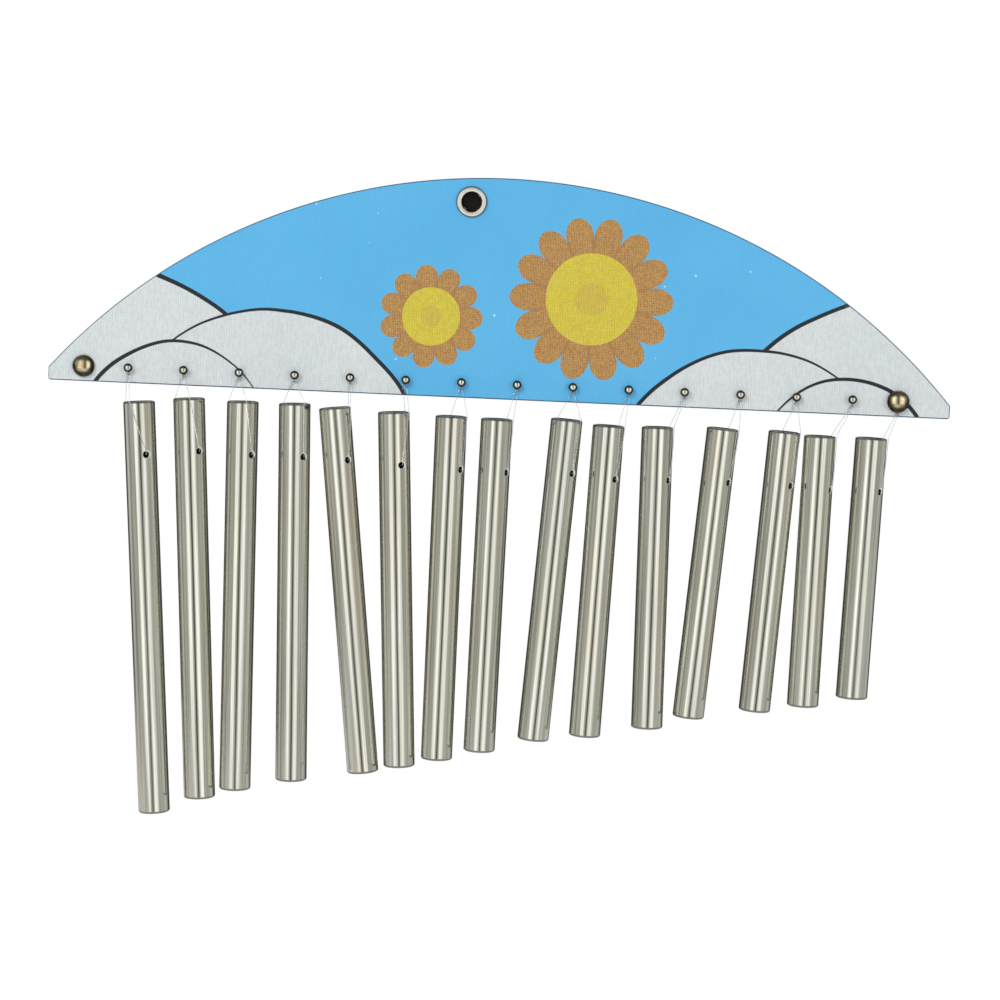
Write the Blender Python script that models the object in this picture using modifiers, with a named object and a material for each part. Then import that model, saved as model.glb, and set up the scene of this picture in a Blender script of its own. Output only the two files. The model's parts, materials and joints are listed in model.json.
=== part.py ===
"""Tube chimes: an arched board that hangs by an eyelet, with a row of aluminium tubes on nylon lines.

The model hangs as it does on a wall. Z is up, the printed face looks towards -Y, and the wall is the
plane Y = 0. The origin is where the hook bears: the middle of the eyelet, on the board's back face.
"""

import math

import bmesh
import bpy
from mathutils import Matrix, Vector

# Clearances between pieces
SEAT_GAP = 0.0003
LINE_GAP = 0.0003

# Board: a circle's arc over a straight lower edge, cut off square at both ends
BOARD_HALF_WIDTH = 0.2270
BOARD_RISE = 0.1105
BOARD_END_HEIGHT = 0.0066
BOARD_THICKNESS = 0.0090
BOARD_EDGE_ROUND = 0.0008
BOARD_CORNER_ROUND = 0.0015
ARCH_SEGMENTS = 44
CORNER_SEGMENTS = 3

# Printed film on the front of the board
FILM_THICKNESS = 0.0003
FILM_INSET = 0.0006

# Hanging eyelet and the washer behind it
EYELET_LEFT_OF_MIDDLE = 0.0169
EYELET_BELOW_TOP = 0.0124
EYELET_RADIUS = 0.00765
EYELET_BORE_RADIUS = 0.0048
EYELET_WALL = 0.0004
EYELET_DOME = 0.0012
EYELET_CURL = 0.0013
WASHER_RADIUS = 0.0075
WASHER_THICKNESS = 0.0005

# Row of nails along the lower edge: small ones at an even pitch, and a large one past each end of them
SMALL_NAILS = 14
NAIL_ABOVE_EDGE = 0.0078
LEFT_NAIL_FROM_END = 0.0180
RIGHT_NAIL_FROM_END = 0.0264
END_NAIL_STEP = 0.0228
NAIL_BACK_COVER = 0.0012
NAIL_POINT = 0.0012

# Small nails: solid domed pins that stand off the face, so that a line fits behind the head
SMALL_HEAD_RADIUS = 0.00225
SMALL_HEAD_HEIGHT = 0.0017
SMALL_SHANK_RADIUS = 0.0006
SMALL_STANDOFF = 0.0019

# Large nails: hollow domed heads
LARGE_HEAD_RADIUS = 0.0056
LARGE_HEAD_HEIGHT = 0.0032
LARGE_HEAD_WALL = 0.0006
LARGE_SHANK_RADIUS = 0.0009
LEFT_STANDOFF = 0.0003
RIGHT_STANDOFF = 0.0014

# Tubes
TUBE_RADIUS = 0.00795
TUBE_WALL = 0.0012
TUBE_EDGE = 0.0004
LONGEST_TUBE = 0.2095
LENGTH_STEP = 0.0060
STEP_EASE = 0.00007
CROSS_HOLE_RADIUS = 0.00175
CROSS_HOLE_DROP = 0.0267
TUBE_SIDES = 24

# Nylon lines
LINE_RADIUS = 0.0003
KNOT_BELOW_HEAD = 0.00075
STRAND_SPREAD = 0.00055
RIM_LIFT = 0.0005
STRAND_STEPS = 4
LOOP_POINTS = 6
LOOP_HALF_ANGLE = math.radians(140)

# How each tube hangs, from the longest to the shortest: the drop of its top below the board's edge as a
# share of TUBE_DROP, the places of its top and of its foot, right of its nail, as shares of the clear gap
# between two tubes, and the turn of its cross hole from the front towards +X in degrees
TUBE_DROP = 0.0080
HANGS = [
    (1.09, 0.49, 1.69, 30),
    (0.75, 0.26, 1.27, 43),
    (0.80, 0.20, 0.43, 47),
    (0.79, 0.05, 0.47, 43),
    (0.93, -0.60, 1.17, 42),
    (1.04, -0.45, 0.37, 32),
    (1.14, -0.36, -0.39, 53),
    (1.19, -0.78, -0.93, 58),
    (1.03, -0.19, -1.01, 46),
    (1.29, -0.76, -1.17, 43),
    (1.25, -1.05, -0.90, 56),
    (1.16, -0.66, -1.51, 50),
    (1.19, -0.42, -1.08, 48),
    (1.36, -1.26, -1.39, 60),
    (1.35, -1.02, -1.26, 51),
]

# Facets of the turned pieces
SMALL_NAIL_SIDES = 12
LARGE_NAIL_SIDES = 18
EYELET_SIDES = 24
HOLE_SIDES = 12

# Places that follow from the sizes above
MIDDLE_X = EYELET_LEFT_OF_MIDDLE
EDGE_Z = EYELET_BELOW_TOP - BOARD_RISE
ARCH_SAGITTA = BOARD_RISE - BOARD_END_HEIGHT
ARCH_RADIUS = (BOARD_HALF_WIDTH ** 2 + ARCH_SAGITTA ** 2) / (2 * ARCH_SAGITTA)
NAIL_Z = EDGE_Z + NAIL_ABOVE_EDGE
LEFT_NAIL_X = MIDDLE_X - BOARD_HALF_WIDTH + LEFT_NAIL_FROM_END
RIGHT_NAIL_X = MIDDLE_X + BOARD_HALF_WIDTH - RIGHT_NAIL_FROM_END
FIRST_NAIL_X = LEFT_NAIL_X + END_NAIL_STEP
NAIL_PITCH = (RIGHT_NAIL_X - END_NAIL_STEP - FIRST_NAIL_X) / (SMALL_NAILS - 1)
TUBE_GAP = NAIL_PITCH - 2 * TUBE_RADIUS
BOARD_FRONT = BOARD_THICKNESS
FILM_BACK = BOARD_FRONT + SEAT_GAP
FILM_FRONT = FILM_BACK + FILM_THICKNESS
NAIL_END = NAIL_BACK_COVER + SEAT_GAP
MERGE = 0.00001


def clear_scene():
    """Remove every object, so that the script builds the same model in any file."""
    for old in list(bpy.data.objects):
        bpy.data.objects.remove(old, do_unlink=True)


def new_collection(name):
    """Make a collection and hang it under the scene."""
    made = bpy.data.collections.new(name)
    bpy.context.scene.collection.children.link(made)
    return made


def new_material(name, colour, roughness, metallic=0.0, transmission=0.0):
    """Make a Principled material from a colour, a roughness and a metallic value."""
    made = bpy.data.materials.new(name)
    made.use_nodes = True
    shader = made.node_tree.nodes["Principled BSDF"]
    shader.inputs["Base Color"].default_value = (*colour, 1.0)
    shader.inputs["Roughness"].default_value = roughness
    shader.inputs["Metallic"].default_value = metallic
    shader.inputs["Transmission Weight"].default_value = transmission
    made.diffuse_color = (*colour, 1.0)
    return made


def add_object(name, data, collection, material=None):
    """Link a new object that shows the given mesh or curve."""
    made = bpy.data.objects.new(name, data)
    collection.objects.link(made)
    if material:
        made.data.materials.append(material)
    return made


def mark_cutter(cutter):
    """Show a cutter as wires only, because it is no piece of the model."""
    cutter.hide_render = True
    cutter.display_type = "WIRE"


def face_front(x, z):
    """Matrix that stands a turned piece's axis on the board: its +Z points out of the front, to -Y."""
    return Matrix.Translation((x, 0.0, z)) @ Matrix.Rotation(math.radians(90), 4, "X")


def turned(name, profile, sides, collection, material, ring=False):
    """Turn a profile of (radius, height) points about Z; a ring's profile is a closed loop."""
    count = len(profile)
    edges = [(i, i + 1) for i in range(count - 1)]
    if ring:
        edges.append((count - 1, 0))
    mesh = bpy.data.meshes.new(name)
    mesh.from_pydata([(r, 0.0, h) for r, h in profile], edges, [])
    made = add_object(name, mesh, collection, material)
    screw = made.modifiers.new("Turn", "SCREW")
    screw.steps = sides
    screw.render_steps = sides
    screw.use_merge_vertices = True
    screw.merge_threshold = MERGE
    screw.use_smooth_shade = True
    return made


def arc(centre_r, centre_h, radius_r, radius_h, start, end, segments):
    """Points of an elliptical arc in a profile, from one angle to another in degrees."""
    points = []
    for i in range(segments + 1):
        angle = math.radians(start + (end - start) * i / segments)
        points.append((centre_r + radius_r * math.cos(angle), centre_h + radius_h * math.sin(angle)))
    return points


def arch_outline(inset):
    """Outline of the board, or of a sheet that lies inside it by the inset, from the lower left."""
    half = BOARD_HALF_WIDTH - inset
    radius = ARCH_RADIUS - inset
    centre_h = BOARD_RISE - ARCH_RADIUS
    corner = max(BOARD_CORNER_ROUND - inset, MERGE)
    points = arc(-half + corner, inset + corner, corner, corner, 180, 270, CORNER_SEGMENTS)
    points += arc(half - corner, inset + corner, corner, corner, 270, 360, CORNER_SEGMENTS)
    end_angle = math.degrees(math.acos(half / radius))
    points += arc(0.0, centre_h, radius, radius, end_angle, 180 - end_angle, ARCH_SEGMENTS)
    return points


def flat_plate(name, outline, back, thickness, collection, material):
    """Cut a plate from a flat outline in the board's plane; back is its back face's distance from Y = 0."""
    curve = bpy.data.curves.new(name + "_outline", "CURVE")
    curve.dimensions = "2D"
    curve.fill_mode = "BOTH"
    curve.extrude = 0.5 * thickness
    spline = curve.splines.new("POLY")
    spline.points.add(len(outline) - 1)
    for point, (x, z) in zip(spline.points, outline):
        point.co = (x, z, 0.0, 1.0)
    spline.use_cyclic_u = True
    guide = add_object(name + "_outline", curve, collection)
    guide.matrix_world = face_front(MIDDLE_X, EDGE_Z) @ Matrix.Translation((0, 0, back + 0.5 * thickness))
    bpy.context.view_layer.update()
    solid = guide.evaluated_get(bpy.context.evaluated_depsgraph_get())
    mesh = bpy.data.meshes.new_from_object(solid)
    weld(mesh)
    made = add_object(name, mesh, collection, material)
    made.matrix_world = guide.matrix_world
    bpy.data.objects.remove(guide, do_unlink=True)
    return made


def weld(mesh):
    """Join the doubled points between a curve's caps and its sides."""
    work = bmesh.new()
    work.from_mesh(mesh)
    bmesh.ops.remove_doubles(work, verts=work.verts, dist=MERGE)
    bmesh.ops.recalc_face_normals(work, faces=work.faces)
    work.to_mesh(mesh)
    work.free()


def round_edges(piece, width, segments):
    """Round the sharp edges of a plate."""
    bevel = piece.modifiers.new("Rounded edges", "BEVEL")
    bevel.width = width
    bevel.segments = segments
    bevel.limit_method = "ANGLE"
    bevel.angle_limit = math.radians(60)


def round_cutter(name, radius, length, matrix, collection, sides=HOLE_SIDES):
    """A cylinder whose middle sits at the matrix and whose axis is the matrix's Z."""
    bpy.ops.mesh.primitive_cylinder_add(vertices=sides, radius=radius, depth=length)
    cutter = bpy.context.object
    cutter.name = name
    cutter.matrix_world = matrix
    for holder in list(cutter.users_collection):
        holder.objects.unlink(cutter)
    collection.objects.link(cutter)
    mark_cutter(cutter)
    return cutter


def cut_with(piece, cutter):
    """Take a cutter out of a piece."""
    cut = piece.modifiers.new("Cut " + cutter.name, "BOOLEAN")
    cut.operation = "DIFFERENCE"
    cut.solver = "EXACT"
    cut.object = cutter


def cut_with_all(piece, cutters):
    """Take every cutter in a collection out of a piece."""
    cut = piece.modifiers.new("Cut " + cutters.name, "BOOLEAN")
    cut.operation = "DIFFERENCE"
    cut.solver = "EXACT"
    cut.operand_type = "COLLECTION"
    cut.collection = cutters


def nail_hole_cutter(name, x, shank_radius, collection):
    """Blind hole for a nail, from in front of the film to just past the nail's point."""
    front = FILM_FRONT + SMALL_STANDOFF
    back = NAIL_BACK_COVER
    matrix = face_front(x, NAIL_Z) @ Matrix.Translation((0, 0, 0.5 * (front + back)))
    round_cutter(name, shank_radius + SEAT_GAP, front - back, matrix, collection)


def make_board_cutters(cutters):
    """Holes through the film and into the board: one for the eyelet's barrel and one for each nail."""
    front = FILM_FRONT + SMALL_STANDOFF
    barrel_hole = EYELET_BORE_RADIUS + EYELET_WALL + SEAT_GAP
    matrix = face_front(0.0, 0.0)
    round_cutter("eyelet_hole", barrel_hole, 2 * front, matrix, cutters, EYELET_SIDES)
    for i in range(SMALL_NAILS):
        nail_hole_cutter(f"nail_hole_{i + 1:02d}", FIRST_NAIL_X + i * NAIL_PITCH, SMALL_SHANK_RADIUS, cutters)
    nail_hole_cutter("large_hole_left", LEFT_NAIL_X, LARGE_SHANK_RADIUS, cutters)
    nail_hole_cutter("large_hole_right", RIGHT_NAIL_X, LARGE_SHANK_RADIUS, cutters)


def make_board(parts, cutters, paint):
    """Arched fibreboard with painted edges."""
    board = flat_plate("board", arch_outline(0.0), 0.0, BOARD_THICKNESS, parts, paint)
    round_edges(board, BOARD_EDGE_ROUND, 2)
    cut_with_all(board, cutters)


def make_film(parts, cutters, print_material):
    """Printed film that covers the front of the board, just inside its rounded edge."""
    film = flat_plate("print_film", arch_outline(FILM_INSET), FILM_BACK, FILM_THICKNESS, parts, print_material)
    cut_with_all(film, cutters)


def make_eyelet(parts, nickel):
    """Eyelet with a rolled front flange, a barrel through the board and a curl over the washer."""
    barrel = EYELET_BORE_RADIUS + EYELET_WALL
    seat = FILM_FRONT + SEAT_GAP
    curl_front = -(2 * SEAT_GAP + WASHER_THICKNESS)
    curl_radius = barrel + EYELET_CURL
    half_flange = 0.5 * (EYELET_RADIUS - EYELET_BORE_RADIUS)
    dome_middle = EYELET_BORE_RADIUS + half_flange
    profile = arc(dome_middle, seat + EYELET_WALL, half_flange, EYELET_DOME - EYELET_WALL, 180, 0, 6)
    profile += [(EYELET_RADIUS - EYELET_WALL, seat)]
    profile += [(barrel, seat), (barrel, curl_front)]
    profile += arc(curl_radius, curl_front - EYELET_WALL, EYELET_WALL, EYELET_WALL, 90, -90, 2)
    profile += [(EYELET_BORE_RADIUS + EYELET_WALL, curl_front - 2 * EYELET_WALL)]
    profile += [(EYELET_BORE_RADIUS, curl_front - EYELET_WALL)]
    eyelet = turned("eyelet", profile, EYELET_SIDES, parts, nickel, ring=True)
    eyelet.matrix_world = face_front(0.0, 0.0)


def make_washer(parts, nickel):
    """Washer behind the board that the eyelet's curl grips."""
    inner = EYELET_BORE_RADIUS + EYELET_WALL + SEAT_GAP
    front = -SEAT_GAP
    back = front - WASHER_THICKNESS
    chamfer = 0.5 * WASHER_THICKNESS
    profile = [(inner, front), (WASHER_RADIUS, front)]
    profile += [(WASHER_RADIUS, front - chamfer), (WASHER_RADIUS - chamfer, back), (inner, back)]
    washer = turned("eyelet_washer", profile, EYELET_SIDES, parts, nickel, ring=True)
    washer.matrix_world = face_front(0.0, 0.0)


def make_small_nail(number, parts, nickel):
    """Solid domed pin; its head stands off the face, and the line's loop goes behind it."""
    seat = FILM_FRONT + SMALL_STANDOFF
    profile = arc(0.0, seat, SMALL_HEAD_RADIUS, SMALL_HEAD_HEIGHT, 90, 0, 3)
    profile[0] = (0.0, seat + SMALL_HEAD_HEIGHT)
    profile += [(SMALL_SHANK_RADIUS, seat), (SMALL_SHANK_RADIUS, NAIL_END + NAIL_POINT), (0.0, NAIL_END)]
    nail = turned(f"nail_{number + 1:02d}", profile, SMALL_NAIL_SIDES, parts, nickel)
    nail.matrix_world = face_front(FIRST_NAIL_X + number * NAIL_PITCH, NAIL_Z)


def make_large_nail(name, x, standoff, parts, brass):
    """Nail with a hollow domed head, as upholsterers use."""
    rim = FILM_FRONT + standoff
    inner_radius = LARGE_HEAD_RADIUS - LARGE_HEAD_WALL
    inner_height = LARGE_HEAD_HEIGHT - LARGE_HEAD_WALL
    shank_angle = math.degrees(math.acos(LARGE_SHANK_RADIUS / inner_radius))
    profile = arc(0.0, rim, LARGE_HEAD_RADIUS, LARGE_HEAD_HEIGHT, 90, 0, 6)
    profile[0] = (0.0, rim + LARGE_HEAD_HEIGHT)
    profile += arc(0.0, rim, inner_radius, inner_height, 0, shank_angle, 4)
    profile += [(LARGE_SHANK_RADIUS, NAIL_END + NAIL_POINT), (0.0, NAIL_END)]
    nail = turned(name, profile, LARGE_NAIL_SIDES, parts, brass)
    nail.matrix_world = face_front(x, NAIL_Z)


def tube_length(number):
    """Each tube is shorter than the one before it by a step that eases off along the row."""
    return LONGEST_TUBE - number * LENGTH_STEP + 0.5 * number * (number - 1) * STEP_EASE


def on_small_nail(number):
    """True for every tube but the shortest, which hangs from a large nail."""
    return number < SMALL_NAILS


def nail_x(number):
    """Nail that a tube hangs from; the shortest tube hangs from the large nail at the right end."""
    if on_small_nail(number):
        return FIRST_NAIL_X + number * NAIL_PITCH
    return RIGHT_NAIL_X


def line_plane(number):
    """How far in front of Y = 0 a line hangs: midway between the film and its nail's head."""
    standoff = SMALL_STANDOFF if on_small_nail(number) else RIGHT_STANDOFF
    return FILM_FRONT + 0.5 * standoff


def knot_drop(number):
    """How far below its nail a line is knotted: just clear of the head."""
    head = SMALL_HEAD_RADIUS if on_small_nail(number) else LARGE_HEAD_RADIUS
    return head + KNOT_BELOW_HEAD


def tube_frame(number):
    """Tube's place below its knot: the origin is the middle of its top, X runs through the cross hole."""
    drop_share, top_share, foot_share, turn = HANGS[number]
    top_x = top_share * TUBE_GAP
    foot_x = foot_share * TUBE_GAP
    lean = math.asin((foot_x - top_x) / tube_length(number))
    knot_above_edge = NAIL_ABOVE_EDGE - knot_drop(number)
    place = Matrix.Translation((top_x, 0.0, -knot_above_edge - drop_share * TUBE_DROP))
    tip = Matrix.Rotation(-lean, 4, "Y")
    spin = Matrix.Rotation(math.radians(turn - 90), 4, "Z")
    return place @ tip @ spin


def make_tube(number, pivot, parts, cutters, aluminium):
    """Open tube with broken edges and a hole across it near the top."""
    length = tube_length(number)
    inner = TUBE_RADIUS - TUBE_WALL
    profile = [(TUBE_RADIUS - TUBE_EDGE, 0.0), (TUBE_RADIUS, -TUBE_EDGE)]
    profile += [(TUBE_RADIUS, TUBE_EDGE - length), (TUBE_RADIUS - TUBE_EDGE, -length)]
    profile += [(inner, -length), (inner, 0.0)]
    tube = turned(f"tube_{number + 1:02d}", profile, TUBE_SIDES, parts, aluminium, ring=True)
    tube.parent = pivot
    tube.matrix_local = tube_frame(number)
    across = pivot.matrix_world @ tube_frame(number) @ Matrix.Translation((0, 0, -CROSS_HOLE_DROP))
    across = across @ Matrix.Rotation(math.radians(90), 4, "Y")
    reach = 2 * TUBE_RADIUS + 2 * TUBE_WALL
    cut_with(tube, round_cutter(f"cross_hole_{number + 1:02d}", CROSS_HOLE_RADIUS, reach, across, cutters))


def strand(number, hole_turn):
    """Points of a taut strand on the tube's side, from the cross hole up to the rim, where it leaves for
    the knot. It takes the shortest way, so it winds from the hole towards the side that faces the knot."""
    frame = tube_frame(number)
    beside = TUBE_RADIUS + LINE_GAP + LINE_RADIUS
    rise = CROSS_HOLE_DROP + RIM_LIFT
    knot = frame.inverted() @ Vector((0.0, 0.0, 0.0))

    def way(turn):
        rim = Vector((beside * math.cos(turn), beside * math.sin(turn), RIM_LIFT))
        return math.hypot(rise, beside * (turn - hole_turn)) + (knot - rim).length

    rim_turn = min((hole_turn + math.radians(step) for step in range(-150, 151)), key=way)
    points = []
    for i in range(STRAND_STEPS + 1):
        share = i / STRAND_STEPS
        turn = hole_turn + share * (rim_turn - hole_turn)
        height = share * rise - CROSS_HOLE_DROP
        points.append(frame @ Vector((beside * math.cos(turn), beside * math.sin(turn), height)))
    return points


def line_route(number):
    """Points of the closed loop of line, from the knot: down one side, through, up the other, round the nail."""
    shank = SMALL_SHANK_RADIUS if on_small_nail(number) else LARGE_SHANK_RADIUS
    loop = shank + LINE_GAP + LINE_RADIUS
    near = strand(number, 0.0)
    far = strand(number, math.pi)
    rim = far[-1]
    edge_z = knot_drop(number) - NAIL_ABOVE_EDGE - 0.5 * LINE_RADIUS
    edge_x = -STRAND_SPREAD + (rim.x + STRAND_SPREAD) * edge_z / rim.z
    edge_y = line_plane(number) - FILM_FRONT - LINE_GAP - LINE_RADIUS
    route = [Vector((STRAND_SPREAD, 0.0, 0.0)), *reversed(near), *far]
    route += [Vector((edge_x, edge_y, edge_z)), Vector((-STRAND_SPREAD, 0.0, 0.0))]
    for i in range(LOOP_POINTS):
        angle = LOOP_HALF_ANGLE * (2 * i / (LOOP_POINTS - 1) - 1)
        across = loop * math.sin(angle)
        route.append(Vector((across, 0.0, knot_drop(number) + loop * math.cos(angle))))
    return route


def make_line(number, pivot, parts, nylon):
    """Nylon line, looped over the nail and threaded through the tube's cross hole."""
    name = f"line_{number + 1:02d}"
    curve = bpy.data.curves.new(name, "CURVE")
    curve.dimensions = "3D"
    curve.bevel_depth = LINE_RADIUS
    curve.bevel_resolution = 1
    curve.use_fill_caps = True
    route = line_route(number)
    spline = curve.splines.new("POLY")
    spline.points.add(len(route) - 1)
    for point, place in zip(spline.points, route):
        point.co = (*place, 1.0)
    spline.use_cyclic_u = True
    line = add_object(name, curve, parts, nylon)
    line.parent = pivot


def make_hanging_tube(number, parts, cutters, aluminium, nylon):
    """One tube and its line, both hung from an empty at the knot, about which they swing."""
    pivot = bpy.data.objects.new(f"knot_{number + 1:02d}", None)
    parts.objects.link(pivot)
    pivot.location = (nail_x(number), -line_plane(number), NAIL_Z - knot_drop(number))
    bpy.context.view_layer.update()
    make_tube(number, pivot, parts, cutters, aluminium)
    make_line(number, pivot, parts, nylon)


def main():
    """Build the whole instrument."""
    clear_scene()
    parts = new_collection("tube_chimes")
    board_cutters = new_collection("board_cutters")
    tube_cutters = new_collection("tube_cutters")
    paint = new_material("sky_paint", (0.10, 0.42, 0.72), 0.45)
    print_material = new_material("printed_film", (0.12, 0.46, 0.80), 0.40)
    nickel = new_material("nickel", (0.72, 0.71, 0.68), 0.18, metallic=1.0)
    brass = new_material("antique_brass", (0.45, 0.36, 0.22), 0.25, metallic=1.0)
    aluminium = new_material("aluminium", (0.78, 0.77, 0.74), 0.28, metallic=1.0)
    nylon = new_material("nylon", (0.90, 0.92, 0.92), 0.15, transmission=0.6)

    make_board_cutters(board_cutters)
    make_board(parts, board_cutters, paint)
    make_film(parts, board_cutters, print_material)
    make_eyelet(parts, nickel)
    make_washer(parts, nickel)
    for number in range(SMALL_NAILS):
        make_small_nail(number, parts, nickel)
    make_large_nail("large_nail_left", LEFT_NAIL_X, LEFT_STANDOFF, parts, brass)
    make_large_nail("large_nail_right", RIGHT_NAIL_X, RIGHT_STANDOFF, parts, brass)
    for number in range(len(HANGS)):
        make_hanging_tube(number, parts, tube_cutters, aluminium, nylon)


main()
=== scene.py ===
# %% [markdown]
# # Tube chimes: the looks
#
# An arched board hangs by an eyelet. Fifteen aluminium tubes hang in front of it on nylon lines that loop
# over a row of domed nails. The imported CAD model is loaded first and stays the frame: every piece made
# below takes its place and its size from it.

# %% Load the frame
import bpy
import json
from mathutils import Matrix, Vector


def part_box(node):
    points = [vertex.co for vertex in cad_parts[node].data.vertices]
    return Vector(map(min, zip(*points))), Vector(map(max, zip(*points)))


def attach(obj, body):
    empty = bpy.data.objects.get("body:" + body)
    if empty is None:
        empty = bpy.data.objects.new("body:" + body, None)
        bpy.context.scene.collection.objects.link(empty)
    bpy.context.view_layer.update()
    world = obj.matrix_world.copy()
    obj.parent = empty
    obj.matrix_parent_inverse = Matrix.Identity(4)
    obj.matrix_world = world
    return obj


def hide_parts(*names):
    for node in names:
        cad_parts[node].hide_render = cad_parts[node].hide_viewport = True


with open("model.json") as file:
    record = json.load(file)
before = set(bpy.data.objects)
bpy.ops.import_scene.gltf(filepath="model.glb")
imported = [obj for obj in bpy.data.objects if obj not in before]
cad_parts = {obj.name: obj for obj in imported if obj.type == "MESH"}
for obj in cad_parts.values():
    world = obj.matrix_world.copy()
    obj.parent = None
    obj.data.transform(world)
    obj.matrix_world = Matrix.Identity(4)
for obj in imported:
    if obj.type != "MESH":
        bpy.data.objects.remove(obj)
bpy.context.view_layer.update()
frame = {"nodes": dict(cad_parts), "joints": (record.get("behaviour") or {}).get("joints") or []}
print("CAD nodes:", len(frame["nodes"]))

# %% Tools for the lesson
import json
import math

import bmesh
import bpy
import numpy as np
from mathutils import Matrix, Vector

scene = bpy.context.scene

# %% [markdown]
# ## Camera
#
# The photograph was taken from a little to the right of the eyelet and a little above the board's lower
# edge, with the camera rolled by two and a half degrees. From there the tubes' upper rims open a little
# and their lower rims sag. The matrix is built from a turn, a pitch and a roll, so that each can be read
# and changed on its own.

# %% Set the camera
CAMERA_PLACE = Vector((0.0470, -1.2660, -0.0500))
CAMERA_TURN = 0.02102
CAMERA_PITCH = -0.07837
CAMERA_ROLL = -0.04345
LENS = 90.0
SENSOR_WIDTH = 36.0
turn = Matrix.Rotation(CAMERA_TURN, 4, "Z") @ Matrix.Rotation(CAMERA_PITCH, 4, "X")
look_ahead = turn @ Matrix.Rotation(CAMERA_ROLL, 4, "Y") @ Matrix.Rotation(math.radians(90), 4, "X")
camera = bpy.data.objects.new("camera", bpy.data.cameras.new("camera"))
camera.data.lens = LENS
camera.data.sensor_width = SENSOR_WIDTH
camera.matrix_world = Matrix.Translation(CAMERA_PLACE) @ look_ahead
scene.collection.objects.link(camera)
scene.camera = camera
scene.view_settings.view_transform = "Standard"
print("camera looks along", (camera.matrix_world.to_3x3() @ Vector((0, 0, -1))).to_tuple(3))

# %% [markdown]
# ## A helper for node trees
#
# Every finish below is a small tree of nodes. The helper adds one node at a time and returns its output,
# so a pattern reads like a sum. A plain number or colour is set on the socket itself.

# %% Node helper


class Bench:
    """Adds nodes to one tree."""

    def __init__(self, tree):
        self.tree = tree

    def put(self, socket, value):
        """Set a plain value on a socket, or link another node's output to it."""
        if isinstance(value, bpy.types.NodeSocket):
            self.tree.links.new(value, socket)
        else:
            socket.default_value = value

    def add(self, kind, output=0, settings=None, **inputs):
        """Add a node; inputs are given by name, with _ for a space, or as i0, i1 for the first, second."""
        node = self.tree.nodes.new(kind)
        for key, value in (settings or {}).items():
            setattr(node, key, value)
        for key, value in inputs.items():
            socket = node.inputs[int(key[1:])] if key[1:].isdigit() else node.inputs[key.replace("_", " ")]
            self.put(socket, value)
        return node.outputs[output]

    def calc(self, operation, first, second=0.0, third=0.0):
        """One step of arithmetic."""
        return self.add("ShaderNodeMath", 0, {"operation": operation}, i0=first, i1=second, i2=third)

    def fade(self, value, start, end, low=0.0, high=1.0):
        """Smooth step from low at start to high at end."""
        settings = {"interpolation_type": "SMOOTHSTEP"}
        return self.add("ShaderNodeMapRange", 0, settings, i0=value, i1=start, i2=end, i3=low, i4=high)

    def noise(self, vector, scale, detail=2.0, roughness=0.5):
        """Grey noise."""
        values = {"Vector": vector, "Scale": scale, "Detail": detail, "Roughness": roughness}
        return self.add("ShaderNodeTexNoise", **values)

    def stretch(self, vector, scale, rotation=(0.0, 0.0, 0.0)):
        """Scale and turn a pattern's coordinates."""
        return self.add("ShaderNodeMapping", 0, None, Vector=vector, Scale=scale, Rotation=rotation)

    def blend(self, share, first, second):
        """Mix two colours."""
        settings = {"data_type": "RGBA"}
        return self.add("ShaderNodeMix", 2, settings, i0=share, i6=first, i7=second)


def linear(red, green, blue):
    """Colour as the shaders take it, from the 0 to 255 values of a colour picker."""
    channels = [value / 255.0 for value in (red, green, blue)]
    return (*[c / 12.92 if c <= 0.04045 else ((c + 0.055) / 1.055) ** 2.4 for c in channels], 1.0)


def new_finish(name, **values):
    """New material with the values that are the same all over set on its Principled shader."""
    made = bpy.data.materials.new(name)
    made.use_nodes = True
    shader = made.node_tree.nodes["Principled BSDF"]
    for key, value in values.items():
        shader.inputs[key.replace("_", " ")].default_value = value
    return made, Bench(made.node_tree), shader


print("sky blue is", [round(c, 3) for c in linear(90, 180, 228)])

# %% [markdown]
# ## Light
#
# Polished tubes show the room, so the room is part of their look. The photograph's tubes carry two broad
# bright bands with a dark line between them and narrow bands near the edges: two big panels in front, a
# gap where the photographer stands, and slim panels at the sides. The world paints that ring of panels
# for reflections only. The camera sees plain white, and soft lamps light everything that isn't metal.

# %% Ring of panels that the metal reflects
world = bpy.data.worlds.new("studio")
world.use_nodes = True
scene.world = world
room = Bench(world.node_tree)
direction = room.add("ShaderNodeTexCoord", "Generated")
part = world.node_tree.nodes.new("ShaderNodeSeparateXYZ")
room.put(part.inputs[0], direction)
to_front = room.calc("MULTIPLY", part.outputs["Y"], -1.0)
bearing = room.calc("DEGREES", room.calc("ARCTAN2", part.outputs["X"], to_front))
height = room.calc("DEGREES", room.calc("ARCSINE", part.outputs["Z"]))

# Each panel: bearing of its middle from the front towards +X, half width and soft edge in degrees, level
PANELS = [
    (-103.0, 9.0, 11.0, 0.64),
    (-56.0, 7.0, 8.0, 0.46),
    (-24.0, 14.5, 9.0, 1.14),
    (30.5, 15.5, 9.0, 1.10),
    (104.0, 8.0, 10.0, 0.60),
]
# Each gap: bearing of its middle, half width and soft edge in degrees, share of the light that is left
GAPS = [
    (4.0, 3.5, 4.2, 0.05),
    (-80.0, 5.0, 7.0, 0.62),
]
ROOM_LEVEL = 0.43
SIDE_LEVEL = 0.06
CEILING_LEVEL = 0.09
BACK_CEILING_LEVEL = 0.38
BELOW_LEVEL = 0.03
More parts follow.
